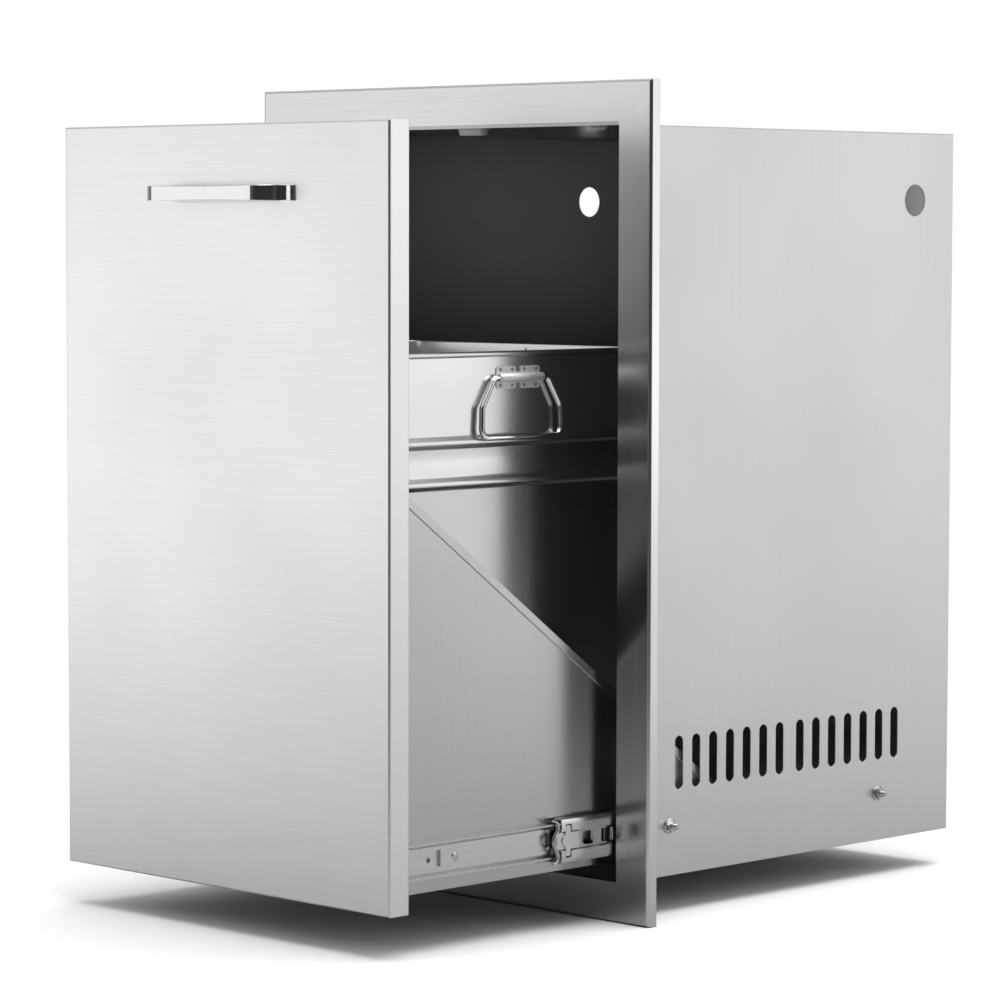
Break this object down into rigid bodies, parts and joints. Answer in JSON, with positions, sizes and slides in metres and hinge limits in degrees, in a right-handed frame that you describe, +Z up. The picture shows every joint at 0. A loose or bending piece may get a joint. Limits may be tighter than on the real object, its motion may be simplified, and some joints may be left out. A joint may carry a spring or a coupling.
{
  "type": "pull-out trash drawer",
  "caption": "Built-in stainless pull-out bin: framed box, door on ball slides, cradle and lift-out bin with bail handles.",
  "frame": {"origin": "underside of the box, mid-width, in the plane of the face frame's rear edge", "axes": "+X to the right seen from the front, +Y into the cut-out, +Z up"},
  "size_m": [0.446, 0.6841, 0.66],
  "materials": {
    "frame_steel": "straight brushed stainless, grain along each member",
    "box_steel": "matte stainless sheet with a fine upright grain",
    "door_steel": "brushed stainless, grain across the door",
    "cradle_steel": "satin stainless sheet",
    "bin_steel": "semi-bright drawn stainless",
    "polished_steel": "polished",
    "zinc_steel": "bright zinc plate",
    "fastener_steel": "bright plated fasteners",
    "ball_steel": "hardened and polished",
    "white_plastic": "moulded, fine matte"
  },
  "bodies": {
    "cabinet": {"frame_top": "frame_steel", "frame_bottom": "frame_steel", "frame_right": "frame_steel", "frame_left": "frame_steel", "side_panel_right": "box_steel", "side_panel_left": "box_steel", "side_flange_right": "box_steel", "side_flange_left": "box_steel", "top_panel": "box_steel", "bottom_panel": "box_steel", "back_panel": "box_steel", "door_catch": "white_plastic", "ceiling_bumpers": "white_plastic", "outer_rail_right": "zinc_steel", "outer_rail_left": "zinc_steel", "slide_studs": "fastener_steel", "slide_washers": "fastener_steel", "slide_nuts": "fastener_steel"},
    "middle_rail_right": {"middle_rail_right": "zinc_steel", "rail_clip_right": "zinc_steel"},
    "middle_rail_left": {"middle_rail_left": "zinc_steel", "rail_clip_left": "zinc_steel"},
    "outer_cage_right": {"outer_cage_right": "zinc_steel", "outer_balls_right": "ball_steel"},
    "outer_cage_left": {"outer_cage_left": "zinc_steel", "outer_balls_left": "ball_steel"},
    "inner_cage_right": {"inner_cage_right": "zinc_steel", "inner_balls_right": "ball_steel"},
    "inner_cage_left": {"inner_cage_left": "zinc_steel", "inner_balls_left": "ball_steel"},
    "drawer": {"door_front": "door_steel", "door_back": "door_steel", "catch_strike": "fastener_steel", "door_handle": "polished_steel", "handle_screws": "fastener_steel", "inner_rail_right": "zinc_steel", "inner_rail_left": "zinc_steel", "cradle_side_right": "cradle_steel", "cradle_side_left": "cradle_steel", "cradle_floor": "cradle_steel", "rail_rivets": "fastener_steel", "cradle_screws": "fastener_steel"},
    "bin": {"bin_body": "bin_steel", "bail_plate_right": "bin_steel", "bail_plate_left": "bin_steel", "plate_rivets": "fastener_steel"},
    "bail_right": {"bail_right": "polished_steel"},
    "bail_left": {"bail_left": "polished_steel"}
  },
  "joints": [
    {"name": "drawer_slide", "type": "slide", "parent": "cabinet", "child": "drawer", "axis": [0, -1, 0], "range_m": [-0.245, 0.105]},
    {"name": "middle_rail_right_slide", "type": "slide", "parent": "cabinet", "child": "middle_rail_right", "axis": [0, -1, 0], "range_m": [-0.0887, 0.0383]},
    {"name": "outer_cage_right_slide", "type": "slide", "parent": "cabinet", "child": "outer_cage_right", "axis": [0, -1, 0], "range_m": [-0.0446, 0.0194]},
    {"name": "inner_cage_right_slide", "type": "slide", "parent": "cabinet", "child": "inner_cage_right", "axis": [0, -1, 0], "range_m": [-0.1671, 0.0719]},
    {"name": "middle_rail_left_slide", "type": "slide", "parent": "cabinet", "child": "middle_rail_left", "axis": [0, -1, 0], "range_m": [-0.0887, 0.0383]},
    {"name": "outer_cage_left_slide", "type": "slide", "parent": "cabinet", "child": "outer_cage_left", "axis": [0, -1, 0], "range_m": [-0.0446, 0.0194]},
    {"name": "inner_cage_left_slide", "type": "slide", "parent": "cabinet", "child": "inner_cage_left", "axis": [0, -1, 0], "range_m": [-0.1671, 0.0719]},
    {"name": "bin_lift", "type": "slide", "parent": "drawer", "child": "bin", "axis": [0, 0, 1], "range_m": [0, 0.13]},
    {"name": "bail_right_hinge", "type": "hinge", "parent": "bin", "child": "bail_right", "pos_m": [0.14575, -0.074, 0.3996], "axis": [0, -1, 0], "range_deg": [0, 165]},
    {"name": "bail_left_hinge", "type": "hinge", "parent": "bin", "child": "bail_left", "pos_m": [-0.14575, -0.074, 0.3996], "axis": [0, 1, 0], "range_deg": [0, 165]}
  ],
  "couplings": [
    {"joint": "middle_rail_right_slide", "follows": "drawer_slide", "ratio": 0.36},
    {"joint": "outer_cage_right_slide", "follows": "drawer_slide", "ratio": 0.18},
    {"joint": "inner_cage_right_slide", "follows": "drawer_slide", "ratio": 0.68},
    {"joint": "middle_rail_left_slide", "follows": "drawer_slide", "ratio": 0.36},
    {"joint": "outer_cage_left_slide", "follows": "drawer_slide", "ratio": 0.18},
    {"joint": "inner_cage_left_slide", "follows": "drawer_slide", "ratio": 0.68}
  ]
}
